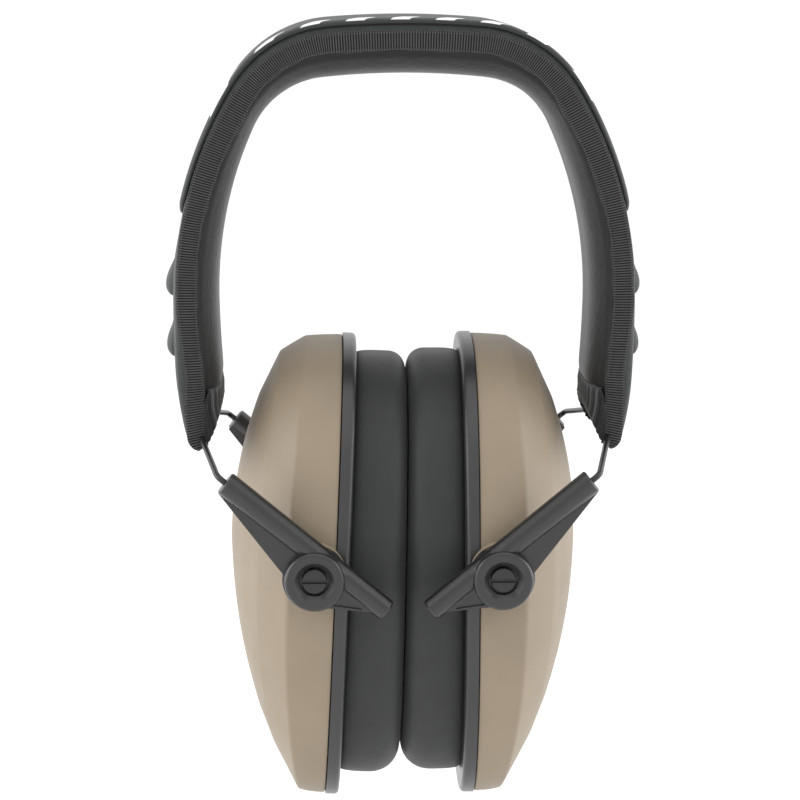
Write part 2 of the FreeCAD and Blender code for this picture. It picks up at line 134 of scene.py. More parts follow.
def weave_height(nodes, links, pitch):
    """Woven height from the piece's own UV map, which is in millimetres of cloth."""
    tc = nodes.new("ShaderNodeTexCoord")
    mp = nodes.new("ShaderNodeMapping")
    mp.inputs["Scale"].default_value = (WAVE_REPEAT / pitch, WAVE_REPEAT / pitch, 1)
    links.new(tc.outputs["UV"], mp.inputs["Vector"])
    higher = nodes.new("ShaderNodeMath")
    higher.operation = "MAXIMUM"
    for k, axis in enumerate("XY"):
        w = nodes.new("ShaderNodeTexWave")
        w.bands_direction = axis
        w.inputs["Scale"].default_value = 1.0
        w.inputs["Distortion"].default_value = 0.6
        w.inputs["Detail"].default_value = 1.0
        links.new(mp.outputs["Vector"], w.inputs["Vector"])
        links.new(w.outputs["Fac"], higher.inputs[k])
    return higher


def tan_shell():
    """Moulded shell: fine grain over a slow unevenness."""
    c = (0.247, 0.196, 0.138)
    m, b, n, l = material("tan_shell", c, 0.52, 0.42, sheen=0.06)
    vary_color(n, l, b, c, 0.045, 55, 5)
    vary_rough(n, l, b, 0.46, 0.60, 160)
    fine = noise(n, l, 2600, 2)
    first = bump(n, l, b, fine.outputs["Fac"], 0.10, 0.0001)
    soft = noise(n, l, 220, 2)
    bump(n, l, b, soft.outputs["Fac"], 0.05, 0.0004, first)
    return m


def plastic(name, color, rough_lo, rough_hi, grain=0.07, spec=0.5, coat=0.0):
    """Dark moulding or coating with a fine grain."""
    m, b, n, l = material(name, color, (rough_lo + rough_hi) / 2, spec, coat=coat)
    vary_color(n, l, b, color, 0.10, 90, 4)
    vary_rough(n, l, b, rough_lo, rough_hi, 240)
    fine = noise(n, l, 3000, 2)
    bump(n, l, b, fine.outputs["Fac"], grain, 0.0001)
    return m


def skin(name, color, rough_lo, rough_hi, grain, scale, sheen, spec=0.45, sheen_rough=0.45):
    """Smooth coated cloth: tiny cellular grain over slow unevenness."""
    m, b, n, l = material(name, color, 0.5, spec, sheen=sheen)
    b.inputs["Sheen Roughness"].default_value = sheen_rough
    vary_color(n, l, b, color, 0.07, 120, 4)
    vary_rough(n, l, b, rough_lo, rough_hi, 300)
    tc = n.new("ShaderNodeTexCoord")
    v = n.new("ShaderNodeTexVoronoi")
    v.feature = "SMOOTH_F1"
    v.inputs["Scale"].default_value = scale
    l.new(tc.outputs["Object"], v.inputs["Vector"])
    first = bump(n, l, b, v.outputs["Distance"], grain, 0.0002)
    slow = noise(n, l, 260, 3)
    bump(n, l, b, slow.outputs["Fac"], 0.08, 0.0006, first)
    return m


def woven(name, color, pitch, sheen=0.25, strength=0.5):
    """Cloth with crossing threads, pitch millimetres apart, and a little fuzz."""
    m, b, n, l = material(name, color, 0.85, 0.25, sheen=sheen)
    vary_color(n, l, b, color, 0.16, 400, 5)
    first = bump(n, l, b, weave_height(n, l, pitch).outputs["Value"], strength, 0.00012)
    fuzz = noise(n, l, 2400, 4)
    bump(n, l, b, fuzz.outputs["Fac"], 0.25, 0.00012, first)
    return m


def ribbed(name, groove_shade, ridge):
    """Ribbed tape: threads pale on the ridges, with painted shade darkening the grooves between them, a fine twist
    along each rib.
    """
    m, b, n, l = material(name, ridge, 0.8, 0.3, sheen=0.15)
    tc = n.new("ShaderNodeTexCoord")
    rib = n.new("ShaderNodeTexWave")
    rib.bands_direction = "X"
    rib.inputs["Scale"].default_value = WAVE_REPEAT / RIB_PITCH
    rib.inputs["Phase Offset"].default_value = math.pi
    rib.inputs["Distortion"].default_value = 0.5
    rib.inputs["Detail"].default_value = 1.0
    l.new(tc.outputs["UV"], rib.inputs["Vector"])
    # colour ramp from the groove colour up to the ridge colour: painted shade in the grooves between the ribs
    r = ramp(n, l, rib.outputs["Fac"], groove_shade, ridge, 0.30, 0.80)
    worn = noise(n, l, 500, 4)
    mix = n.new("ShaderNodeMix")
    mix.data_type = "RGBA"
    mix.blend_type = "MULTIPLY"
    mix.inputs["Factor"].default_value = 0.5
    l.new(r.outputs["Color"], mix.inputs["A"])
    l.new(worn.outputs["Fac"], mix.inputs["B"])
    l.new(mix.outputs["Result"], b.inputs["Base Color"])
    first = bump(n, l, b, rib.outputs["Fac"], 0.6, 0.00015)
    fuzz = noise(n, l, 2600, 4)
    bump(n, l, b, fuzz.outputs["Fac"], 0.3, 0.0001, first)
    return m


def steel(name, color, rough):
    """Bare metal with streaks along one axis."""
    m, b, n, l = material(name, color, rough, 0.5, metal=1.0)
    streak = noise(n, l, 300, 4, stretch=(1, 14, 1))
    mr = n.new("ShaderNodeMapRange")
    mr.inputs["To Min"].default_value = rough - 0.08
    mr.inputs["To Max"].default_value = rough + 0.12
    l.new(streak.outputs["Fac"], mr.inputs["Value"])
    l.new(mr.outputs["Result"], b.inputs["Roughness"])
    bump(n, l, b, streak.outputs["Fac"], 0.06, 0.0001)
    return m


MATS = {
    "tan_shell": tan_shell(),
    "rim_plastic": plastic("rim_plastic", (0.018, 0.018, 0.019), 0.28, 0.40, 0.10, coat=0.3),
    "arm_plastic": plastic("arm_plastic", (0.009, 0.009, 0.010), 0.24, 0.36, 0.05, coat=0.35),
    "screw_plastic": plastic("screw_plastic", (0.012, 0.012, 0.013), 0.30, 0.42, 0.05),
    "hinge_plastic": plastic("hinge_plastic", (0.01, 0.01, 0.01), 0.45, 0.6),
    "plate_rubber": plastic("plate_rubber", (0.016, 0.018, 0.018), 0.42, 0.58, 0.12, 0.4),
    "pale_ink": plastic("pale_ink", (0.80, 0.80, 0.80), 0.5, 0.6, 0.05, 0.3),
    "cushion_skin": skin("cushion_skin", (0.020, 0.021, 0.022), 0.50, 0.62, 0.10, 1500, 0.06),
    "lining_skin": skin("lining_skin", (0.014, 0.014, 0.014), 0.50, 0.62, 0.35, 900, 0.22, 0.25, 0.35),
    "cover_fabric": woven("cover_fabric", (0.030, 0.033, 0.033), 0.42),
    # ribbed tape: the first colour is painted shade for the grooves between the ribs, the second the thread's own
    # colour
    "ribbed_tape": ribbed("ribbed_tape", (0.003, 0.003, 0.003), (0.080, 0.080, 0.081)),
    "insert_fabric": woven("insert_fabric", (0.016, 0.016, 0.018), 0.8, 0.2, 0.8),
    "soft_foam": skin("soft_foam", (0.03, 0.03, 0.032), 0.8, 0.95, 0.8, 900, 0.3),
    "coated_wire": plastic("coated_wire", (0.010, 0.010, 0.011), 0.24, 0.38, 0.05, 0.6),
    "spring_steel": steel("spring_steel", (0.42, 0.43, 0.45), 0.34),
    "rivet_steel": steel("rivet_steel", (0.50, 0.50, 0.51), 0.30),
    "stitch_thread": woven("stitch_thread", (0.050, 0.050, 0.051), 0.2, 0.3, 0.4),
    "gather_cloth": woven("gather_cloth", (0.014, 0.014, 0.015), 0.5, 0.3, 0.5),
}
record = frame["record"]
slot_of = {s["node"]: s["material_slot"] for s in record["subparts"]}
for node, obj in frame["nodes"].items():
    obj.data.materials.clear()
    obj.data.materials.append(MATS[slot_of[node]])


# ---------------------------------------------------------------- mesh helpers
def facing_out(verts, faces):
    """Faces turned to look away from the middle of the mesh, judged on the whole of it."""
    points = np.array([tuple(v) for v in verts], float)
    points -= points.mean(axis=0)
    total = 0.0
    for f in faces:
        a, b, c = points[f[0]], points[f[1]], points[f[2]]
        total += a @ np.cross(b, c)
    return faces if total > 0 else [tuple(reversed(f)) for f in faces]


def piece(name, verts, faces, body, slot, mat=None, uv=None, replaces=(), turn=True):
    """Mesh from millimetre vertices; uv is one (u, v) per vertex in millimetres."""
    if turn:
        faces = facing_out(verts, faces)
    mesh = bpy.data.meshes.new(name)
    points = [tuple(float(c) * MM for c in v) for v in verts]
    mesh.from_pydata(points, [], [tuple(map(int, f)) for f in faces])
    mesh.validate()
    if uv is not None:
        layer = mesh.uv_layers.new(name="UVMap")
        for loop in mesh.loops:
            layer.data[loop.index].uv = uv[loop.vertex_index]
    mesh.polygons.foreach_set("use_smooth", [True] * len(mesh.polygons))
    mesh.materials.append(MATS[mat or slot])
    obj = bpy.data.objects.new(name, mesh)
    bpy.context.scene.collection.objects.link(obj)
    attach(obj, body)
    if replaces:
        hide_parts(*replaces)
    return obj


def grid_faces(rows, cols, close_cols=False, flip=False):
    """Quads over a grid of vertices, joined round to a tube where the columns close."""
    out = []
    for i in range(rows - 1):
        for j in range(cols if close_cols else cols - 1):
            a, b = i * cols + j, i * cols + (j + 1) % cols
            c, d = b + cols, a + cols
            out.append((a, d, c, b) if flip else (a, b, c, d))
    return out


def shifted(faces, base):
    """The faces for vertices that start at base in a larger mesh."""
    return [tuple(base + k for k in f) for f in faces]


def mirror_x(verts, faces):
    """The mesh mirrored across the mid-plane, its faces still looking outwards."""
    v = np.array(verts, float)
    v[:, 0] *= -1
    return v, [tuple(reversed(f)) for f in faces]


def both_sides(verts, faces):
    """The left piece's mesh as it is, then the right piece's, mirrored."""
    yield "left", verts, faces
    yield "right", *mirror_x(verts, faces)


def subdivide(obj, levels):
    mod = obj.modifiers.new("smooth", "SUBSURF")
    mod.levels = levels
    mod.render_levels = levels


def smooth_noise(points, scale, seed, octaves=2):
    """Sum of a few fixed sine waves: repeatable soft unevenness, about -1 to 1."""
    r = np.random.default_rng(seed)
    out = np.zeros(len(points))
    amp, total = 1.0, 0.0
    for o in range(octaves):
        for _ in range(4):
            k = r.normal(size=3)
            k /= np.linalg.norm(k)
            out += amp * np.sin(points @ k * (2 * np.pi / (scale / 2 ** o)) + r.uniform(0, 6.28))
        total += amp * 4
        amp *= 0.5
    return out / total * 1.8


# ---------------------------------------------------------------- headband path
# the arch lies in X and Z, and distances s along it run from the crown, + towards +X
# crown heights of the outer and inner lines, then each line's arcs as (radius, degrees)
OUTER_Z0, INNER_Z0 = 11.9, 0.0
OUTER_ARCS = [(215.6, 4.7), (28.7, 54.1), (92.8, 30.6), (332.0, 3.7), (70.0, 12.0)]
INNER_ARCS = [(177.2, 6.15), (20.0, 59.2), (96.0, 25.99), (273.3, 4.9)]
# outline of the left leg's rounded end, from the inside round to the outside
TIP = np.array([(-40.5, -66.0), (-42.4, -72.0), (-43.3, -77.5), (-45.3, -83.6), (-48.2, -87.2),
                (-51.2, -84.2), (-52.6, -78.0), (-54.5, -66.0)])


def arc_path(z0, arcs, step=0.25):
    """Points, outward normals and distance from the crown down the +X leg."""
    x, z, turn, s = 0.0, z0, 0.0, 0.0
    pts, nrm, dist = [(x, z)], [(0.0, 1.0)], [0.0]
    for radius, degrees in arcs:
        span = math.radians(degrees)
        n = max(2, int(radius * span / step))
        for i in range(1, n + 1):
            a = turn + span * i / n
            over, drop = math.sin(a) - math.sin(turn), math.cos(turn) - math.cos(a)
            pts.append((x + radius * over, z - radius * drop))
            nrm.append((math.sin(a), math.cos(a)))
            dist.append(s + radius * span * i / n)
        x, z = pts[-1]
        turn += span
        s = dist[-1]
    return np.array(pts), np.array(nrm), np.array(dist)


def extended(points, by):
    """The path with a straight stretch added at its lower end."""
    way = points[-1] - points[-2]
    return np.vstack([points, points[-1] + way / np.linalg.norm(way) * by])


PAST_END = 3.0                           # cloth runs on this far, then is drawn in round the tip
O_P, O_N, O_S = arc_path(OUTER_Z0, OUTER_ARCS)
O_P, O_N, O_S = extended(O_P, PAST_END), np.vstack([O_N, O_N[-1]]), np.r_[O_S, O_S[-1] + PAST_END]
I_P = extended(arc_path(INNER_Z0, INNER_ARCS)[0], 25)
S_END = O_S[-1]


def thicknesses():
    """Padding thickness at each point of the outer line, measured along its normal."""
    out = []
    for p, n in zip(O_P, O_N):
        rel = I_P - p
        along = -(rel @ n)
        across = np.abs(rel @ np.array([n[1], -n[0]]))
        across[along < 0] = 99
        out.append(along[across.argmin()])
    return np.array(out)


THICKNESS = thicknesses()


def at(s):
    """Outer-line point, normal and padding thickness at signed distance s from the crown."""
    a = abs(s)
    p = np.array([np.interp(a, O_S, O_P[:, 0]), np.interp(a, O_S, O_P[:, 1])])
    n = np.array([np.interp(a, O_S, O_N[:, 0]), np.interp(a, O_S, O_N[:, 1])])
    n /= np.linalg.norm(n)
    if s < 0:
        p[0], n[0] = -p[0], -n[0]
    return p, n, float(np.interp(a, O_S, THICKNESS))


# the band's half width in Y at two heights, and how far its edge bows out between them
WIDE_Z, WIDE_HALF = 20, 22.5
NARROW_Z, NARROW_HALF = -95, 19.0
EDGE_BOW = 0.42


def half_width(z):
    """The band's half width in Y at height z, as in the CAD."""
    t = (z - NARROW_Z) / (WIDE_Z - NARROW_Z)
    bow = EDGE_BOW * 4 * t * (1 - t)
    return NARROW_HALF + (WIDE_HALF - NARROW_HALF) * t + bow


def tip_curve():
    """Dense outline of the left leg's rounded end."""
    t = np.linspace(0, 1, len(TIP))
    fine = np.linspace(0, 1, 120)
    chord = np.r_[0, np.cumsum(np.hypot(*np.diff(TIP, axis=0).T))]
    out = []                             # a Catmull-Rom curve through the points
    for value in np.interp(fine, t, chord):
        i = min(max(np.searchsorted(chord, value) - 1, 0), len(TIP) - 2)
        u = (value - chord[i]) / (chord[i + 1] - chord[i])
        p0, p1, p2, p3 = TIP[max(i - 1, 0)], TIP[i], TIP[i + 1], TIP[min(i + 2, len(TIP) - 1)]
        out.append(0.5 * (2 * p1 + (p2 - p0) * u + (2 * p0 - 5 * p1 + 4 * p2 - p3) * u * u
                          + (3 * p1 - p0 - 3 * p2 + p3) * u ** 3))
    return np.array(out)


TIP_LINE = tip_curve()
TIP_MID = np.array([-47.6, -74.0])


def clamp_tip(x, z, inset=0.0):
    """Pull a point of either leg's end back onto the rounded tip."""
    if z > -72:
        return x, z
    side = -1 if x < 0 else 1
    p = np.array([-abs(x), z])
    rel = p - TIP_MID
    line = TIP_LINE - TIP_MID
    ang = np.arctan2(line[:, 1], line[:, 0])
    a = math.atan2(rel[1], rel[0])
    diff = np.abs((ang - a + np.pi) % (2 * np.pi) - np.pi)
    limit = np.linalg.norm(line[diff.argmin()]) - inset
    r = np.linalg.norm(rel)
    if r > limit and line[diff.argmin(), 1] < 6:
        rel *= limit / r
    q = rel + TIP_MID
    return side * -q[0], q[1]


def band_strip(stations, section, inset=0.0):
    """Loft along the arch the closed loop of (y, depth) points that section(s, thickness, half) gives."""
    verts, uv = [], []
    for s in stations:
        p, n, thick = at(s)
        half = half_width(p[1])
        loop = section(s, thick, half)
        run = 0.0
        last = None
        for y, d in loop:
            x, z = clamp_tip(p[0] - n[0] * d, p[1] - n[1] * d, inset)
            verts.append((x, y, z))
            if last is not None:
                run += math.hypot(y - last[0], d - last[1])
            last = (y, d)
            uv.append((s, run))
    cols = len(verts) // len(stations)
    faces = grid_faces(len(stations), cols, close_cols=True)
    faces.append(tuple(range(cols)))
    faces.append(tuple(range(len(verts) - 1, len(verts) - cols - 1, -1)))
    return verts, faces, uv


# ---------------------------------------------------------------- headband cloth
# edges of the ribbed tape down each leg: height, depth of its upper edge, depth of its lower edge
TAPE = [(-88, -0.2, 3.4), (-84, 0.1, 4.6), (-78, 1.0, 5.7), (-70, 1.9, 5.9), (-62, 1.2, 5.4),
        (-53, 0.4, 5.0), (-32, 0.5, 5.0), (-20, 0.5, 5.5), (-6, 1.1, 6.0), (4, 1.6, 6.1), (20, 1.7, 6.1)]
# how far the cover swells out, by height
COVER_CROWN = [(-88, 0.1), (-82, 0.7), (-70, 1.25), (-45, 1.1), (-34, 0.15), (20, 0.0)]
COVER_ROLL = 0.10                        # share of the half width in which the cover rolls down
LINING_FLAT = 0.86                       # share of it that the lining keeps before turning under the tape
SEAM_DEPTH = 5.7                         # the seam of tape and lining, below the outer line
LINING_SHORT = 1.5                       # how far the lining stops short of the cover's end
COVER_ROWS, LINING_ROWS, RIB_STEPS = 321, 421, 8
STITCH_LENGTH, STITCH_GAP, THREAD_R = 1.1, 0.12, 0.11
# rows of stitches: name, stand-off from the band's side, stop short of the end, tape edge, offset from it
SEAMS = [("cover", 0.10, 9, 0, -0.14), ("upper", 0.36, 9, 0, 0.34), ("lower", 0.34, 17, 1, -0.30)]


def along_z(table, z, column=1):
    """A table's value at height z."""
    return float(np.interp(z, [row[0] for row in table], [row[column] for row in table]))


def height_at(s):
    return at(s)[0][1]


def leg_table(count):
    """Distances down a leg and the heights there."""
    distances = np.linspace(0, S_END, count)
    return distances, np.array([height_at(s) for s in distances])


def distance_at(z, table):
    """Distance down the leg at height z."""
    distances, heights = table
    return float(np.interp(-z, -heights, distances))


def tape_edges(s):
    """Depths of the tape's upper and lower edge."""
    z = height_at(s)
    return along_z(TAPE, z, 1), along_z(TAPE, z, 2)


# how far the gathered end is drawn in towards the hinge, by height
DRAWN_IN = [(-89, 1.0), (-84, 1.6), (-78, 1.7), (-74, 0.9), (-71, 0.1), (-69, 0.0)]


def drawn_in(s):
    return along_z(DRAWN_IN, height_at(s))


def cover_section(s, _thick, half):
    """Outer cover, crowned on the legs, its edges rolled down to the tape."""
    roll = max(0.0, tape_edges(s)[0]) + 0.15
    crown = along_z(COVER_CROWN, height_at(s))
    across = [-1, -0.997, -0.985, -0.955, COVER_ROLL - 1, -0.80, -0.6, -0.3]
    across += [0.0] + [-t for t in reversed(across)]
    top = []
    for t in across:
        edge = max(0.0, (abs(t) - (1 - COVER_ROLL)) / COVER_ROLL)
        top.append((t * (half + 0.05), roll * edge ** 2.4 - crown * (1 - t * t)))
    under = [(t * half, roll + rise) for t, rise in ((0.97, 0.3), (0.9, 0.4), (-0.9, 0.4), (-0.97, 0.3))]
    return top + under


def lining_section(s, thick, half):
    """Soft lining: square under the tape, then crowned over the foam, rucked along the seam."""
    seam = min(SEAM_DEPTH, tape_edges(s)[1] - 0.35)
    ruck = 0.10 * math.sin(s * 1.9 + 0.6 * math.sin(s * 0.37)) + 0.06 * math.sin(s * 4.3)
    points = []
    for t in np.linspace(-1, 1, 33):
        edge = abs(t)
        if edge < LINING_FLAT:
            y = half * edge
        else:
            turn = (edge - LINING_FLAT) / (1 - LINING_FLAT) * math.pi / 2
            y = half * (LINING_FLAT + (1 - LINING_FLAT) * math.sin(turn))
        lift = max(0.0, thick - seam) * max(0.0, (edge - 0.12) / 0.88) ** 3.4
        wrinkle = ruck * math.exp(-((edge - 0.93) / 0.06) ** 2)
        points.append((math.copysign(y, t), thick - lift + wrinkle * 0.7 - 0.5 * drawn_in(s)))
    return points + [(half - 1.5, seam - 0.1), (-(half - 1.5), seam - 0.1)]


def tape_section(side):
    """Ribbed binding over the band's edge; each rib stands across the tape."""
    def section(s, thick, half):
        rib = RIB_HEIGHT * (0.5 + 0.5 * math.cos(2 * math.pi * s / RIB_PITCH))
        wander = 0.10 * math.sin(s * 0.31 + side) + 0.06 * math.sin(s * 0.83)
        a, b = tape_edges(s)
        a, b = a + 0.5 * wander, b + wander
        profile = [(-0.55, a - 0.10), (-0.05, a - 0.08), (0.16 + rib * 0.6, a + 0.12), (0.28 + rib, a + 0.7),
                   (0.34 + rib, (a + b) / 2), (0.28 + rib, b - 0.7), (0.16 + rib * 0.6, b - 0.12),
                   (-0.05, b + 0.10), (-0.7, b + 0.2), (-0.9, (a + b) / 2)]
        points = [(side * (half + y), d) for y, d in profile]
        return points if side > 0 else points[::-1]
    return section


def make_band():
    """Cover, lining, and on each side the ribbed tape with its rows of stitches."""
    v, f, uv = band_strip(np.linspace(-S_END, S_END, COVER_ROWS), cover_section)
    piece("band_outer_cover_cloth", v, f, "headband", "cover_fabric", uv=uv, replaces=("outer_cover",))
    reach = S_END - LINING_SHORT
    v, f, uv = band_strip(np.linspace(-reach, reach, LINING_ROWS), lining_section, inset=0.35)
    lining = piece("band_inner_lining_skin", v, f, "headband", "lining_skin", uv=uv,
                   replaces=("inner_lining", "headband_foam"))
    step = RIB_PITCH / RIB_STEPS
    half_count = int(S_END / step)
    stations = np.arange(-half_count, half_count + 1) * step
    for side, tag in ((-1, "front"), (1, "rear")):
        v, f, uv = band_strip(stations, tape_section(side), inset=0.1)
        piece("band_%s_ribbed_binding" % tag, v, f, "headband", "ribbed_tape", uv=uv,
              replaces=(tag + "_binding",))
        for row, out, short, edge, offset in SEAMS:
            stitch_line("band_%s_%s_seam" % (tag, row), side, out, S_END - short, edge, offset)


def stitch_line(name, side, out, reach, edge, offset):
    """Row of short thread stitches lying along one edge of the tape, from -reach to reach."""
    rings = 5                            # along a stitch, and points round each
    verts, faces = [], []
    s = -reach
    while s + STITCH_LENGTH < reach:
        base = len(verts)
        for t in np.linspace(0, 1, rings):
            here = s + t * STITCH_LENGTH
            p, n, _ = at(here)
            y0 = half_width(p[1]) + out + THREAD_R * 1.3 * math.sin(math.pi * t) - 0.05
            r = THREAD_R * (0.45 + 0.55 * math.sin(math.pi * t))
            for a in np.arange(rings) * 2 * math.pi / rings:
                d = tape_edges(here)[edge] + offset + r * math.cos(a)
                x, z = clamp_tip(p[0] - n[0] * d, p[1] - n[1] * d, 0.1)
                verts.append((x, side * (y0 + r * 0.8 * math.sin(a)), z))
        faces += shifted(grid_faces(rings, rings, close_cols=True), base)
        faces.append(tuple(base + k for k in reversed(range(rings))))
        faces.append(tuple(range(len(verts) - rings, len(verts))))
        s += STITCH_LENGTH + STITCH_GAP
    piece(name, verts, faces, "headband", "ribbed_tape", mat="stitch_thread")


# gathered cloth drawn round each hinge end: heights of its upper edge on the inside and by the tape
GATHER_TOP_INSIDE, GATHER_TOP_EDGE, GATHER_END = -73.4, -78.2, -88.2
GATHER_OUT, PLEAT, PLEAT_COUNT, ZIGZAGS = 0.06, 0.42, 17, 20
GATHER_T = 0.35


def gather_mesh():
    """U-shaped pouch on the left leg's end: front face, inner face, rear face."""
    columns, rows, corner = 181, 44, 0.62
    table = leg_table(600)
    verts, uv = [], []
    for i in range(rows):
        down = i / (rows - 1)
        for j in range(columns):
            t = 2 * j / (columns - 1) - 1
            edge = abs(t)
            beside = max(0.0, (edge - corner) / (1 - corner))
            zig = 0.8 * (abs((t * ZIGZAGS) % 1 - 0.5) - 0.25)
            top_z = GATHER_TOP_INSIDE + (GATHER_TOP_EDGE - GATHER_TOP_INSIDE) * beside + zig
            z = top_z + (GATHER_END - top_z) * down
            s = distance_at(z, table)
            p, n, thick = at(-s)
            half = half_width(p[1])
            fold = abs(math.sin(t * PLEAT_COUNT * math.pi / 2 + 1.2 * math.sin(3 * t) + 1.4 * down * t))
            rise = GATHER_OUT + PLEAT * fold ** 1.5 * min(1.0, 0.15 + i / 7)
            body = max(0.0, thick - SEAM_DEPTH)
            if edge < corner:
                y = half * edge / corner + 0.2 * rise
                d = thick - body * 0.6 * (edge / corner) ** 3.4 + rise - 0.5 * drawn_in(s)
            else:
                y = half + 0.2 + rise * 0.7
                start = thick - body * 0.6 + rise - 0.5 * drawn_in(s)
                d = start + (along_z(TAPE, z, 2) - 0.6 - start) * beside
            x, z = clamp_tip(p[0] - n[0] * d, p[1] - n[1] * d, -0.12 - rise * 0.7)
            verts.append((x, math.copysign(y, t), z))
            uv.append((t * 30, z))
    return verts, grid_faces(rows, columns), uv


def make_gathers():
    """The pleated pouch on each of the band's ends."""
    verts, faces, uv = gather_mesh()
    for side, v, f in both_sides(verts, faces):
        obj = piece(side + "_end_gather_cloth", v, f, "headband", "ribbed_tape", uv=uv, mat="gather_cloth",
                    replaces=(side + "_end_gather",))
        solid = obj.modifiers.new("cloth thickness", "SOLIDIFY")
        solid.thickness = GATHER_T * MM
        solid.offset = -1


# heights of each grip bump's upper and lower end
BUMPS = [(-43.5, -51.6), (-58.0, -65.9)]
BUMP_HALF, BUMP_RISE = 13.2, 1.65        # half length in Y, rise over the cover
BUMP_CREST = 0.72                        # how far down a bump is highest


def make_bumps():
    """Moulded grip bumps: a long slope down to a full, rounded lower lip."""
    table = leg_table(600)
    rows, columns = 30, 41
    verts, faces = [], []
    for top_z, low_z in BUMPS:
        base = len(verts)
        for i in range(rows):
            v = i / (rows - 1)
            p, n, _ = at(-distance_at(top_z + (low_z - top_z) * v, table))
            half = half_width(p[1])
            slope = math.sin(min(1.0, v / BUMP_CREST) * math.pi / 2) ** 1.6
            lip = math.sqrt(max(0.0, 1 - max(0.0, (v - BUMP_CREST) / (1 - BUMP_CREST)) ** 2.6))
            for j in range(columns):
                u = 2 * j / (columns - 1) - 1
                y = u * BUMP_HALF * (1 - 0.05 * (2 * v - 1) ** 2)
                ends = max(0.0, 1 - abs(u) ** 4) ** 0.6
                crown = along_z(COVER_CROWN, p[1]) * (1 - (y / half) ** 2)
                edge_row = -0.35 if i in (0, rows - 1) or j in (0, columns - 1) else 0.0
                up = crown + edge_row + 0.05 + BUMP_RISE * slope * lip * ends
                verts.append((p[0] + n[0] * up, y, p[1] + n[1] * up))
        faces += shifted(grid_faces(rows, columns), base)
    for side, v, f in both_sides(verts, faces):
        piece(side + "_grip_bumps", v, f, "headband", "plate_rubber", replaces=(side + "_grip_ribs",))


PLATE_END_Z, PLATE_CORNER = -32.0, 6.5
PLATE_T, PLATE_EDGE_T, PLATE_CROWN = 1.2, 0.42, 0.12
PLATE_SHOULDER = 1.6                     # how far in from the edge the face reaches full height
PLATE_SIDE = 0.4                         # gap to the band's edge
DASHES, DASH_PITCH, DASH_W, DASH_LEAN = 9, 10.2, 5.0, 3.2
DASH_Y, DASH_LEN, DASH_EDGE = -18.4, 8.4, 0.45


def plate_height(across, half):
    """Height of the plate's face above the cover at a distance from its mid-line."""
    shoulder = min(1.0, max(0.0, half - abs(across)) / PLATE_SHOULDER) ** 0.45
    return PLATE_EDGE_T + (PLATE_T - PLATE_EDGE_T) * shoulder + PLATE_CROWN * (1 - (across / half) ** 2)


def make_plate():
    """Crown plate with a soft shoulder all round and rounded corners."""
    s_end = distance_at(PLATE_END_Z, leg_table(900))
    ends = s_end - PLATE_CORNER * (1 - np.sin(np.linspace(0, 1, 24) * math.pi / 2))
    stations = np.r_[-ends[::-1], np.linspace(-ends[0], ends[0], 200)[1:-1], ends]
    across = [-1, -0.998, -0.99, -0.97, -0.94, -0.88, -0.75, -0.5, -0.25]
    across += [0.0] + [-t for t in reversed(across)]
    verts = []
    for s in stations:
        p, n, _ = at(s)
        left_over = min(PLATE_CORNER, s_end - abs(s))
        cut = PLATE_CORNER - math.sqrt(max(0.0, PLATE_CORNER ** 2 - (PLATE_CORNER - left_over) ** 2))
        half = half_width(p[1]) - PLATE_SIDE - cut
        thin = min(1.0, 0.35 + 0.65 * math.sqrt(max(0.0, left_over / 2.5)))
        loop = [(t * half, plate_height(t * half, half) * thin) for t in across]
        loop += [(0.998 * half, -0.1), (0, -0.1), (-0.998 * half, -0.1)]
        verts += [(p[0] + n[0] * h, y, p[1] + n[1] * h) for y, h in loop]
    columns = len(across) + 3
    faces = grid_faces(len(stations), columns, close_cols=True)
    faces += [tuple(range(columns)), tuple(range(len(verts) - 1, len(verts) - columns - 1, -1))]
    piece("crown_plate_moulded", verts, faces, "headband", "plate_rubber", replaces=("crown_plate",))


def make_dashes():
    """Pale slanted dashes let into the plate's front shoulder."""
    leg = np.linspace(0, S_END, 900)
    leg_x = np.array([at(s)[0][0] for s in leg])
    verts, faces = [], []
    rows, columns = 13, 9
    for k in range(DASHES):
        faces += shifted(grid_faces(rows, columns), len(verts))
        for i in range(rows):
            v = i / (rows - 1) - 0.5
            for j in range(columns):
                u = j / (columns - 1) - 0.5
                x = (k - (DASHES - 1) / 2) * DASH_PITCH + u * DASH_W + v * DASH_LEAN
                p, n, _ = at(math.copysign(float(np.interp(abs(x), leg_x, leg)), x))
                half = half_width(p[1]) - PLATE_SIDE
                y = max(-half + DASH_EDGE, DASH_Y + v * DASH_LEN)
                sink = 0.12 if i in (0, rows - 1) or j in (0, columns - 1) else 0.0
                up = plate_height(y, half) + 0.05 - sink
                verts.append((p[0] + n[0] * up, y, p[1] + n[1] * up))
    piece("crown_plate_marks", verts, faces, "headband", "pale_ink", turn=False,
          replaces=("crown_plate_dashes",))


make_band()
make_gathers()
make_bumps()
make_plate()
make_dashes()

# ---------------------------------------------------------------- cups
CUP_AT = np.array([-13.4, 0.0, -118.6])
CUP_TILT, CUP_LEAN = math.radians(1.33), math.radians(1.15)
CUSHION, EAR = (52.3, -49.8, 34.6), (33.8, -32.2, 19.5)   # top, bottom and half width
CUSHION_GAP, CUSHION_ROLL = 0.18, 3.6    # gap to the mid-plane, roll into the ear opening
INSERT_OUT, INSERT_CROWN, INSERT_PAST = 3.35, 1.5, 5.6    # the last: how far past the ear opening
EGG, POWER = 0.05, 2.35                  # how much wider above the middle, and how square
PAD_PROFILE = [(7.6, 36.0), (7.5, 39.2), (7.3, 40.2), (6.9, 40.7), (6.2, 40.9), (2.0, 40.9)]
PIVOT = {j["name"]: j for j in frame["joints"]}["left_cup_pivot"]["pos_m"]
PIVOT_X, PIVOT_Z = PIVOT[0] / MM, PIVOT[2] / MM

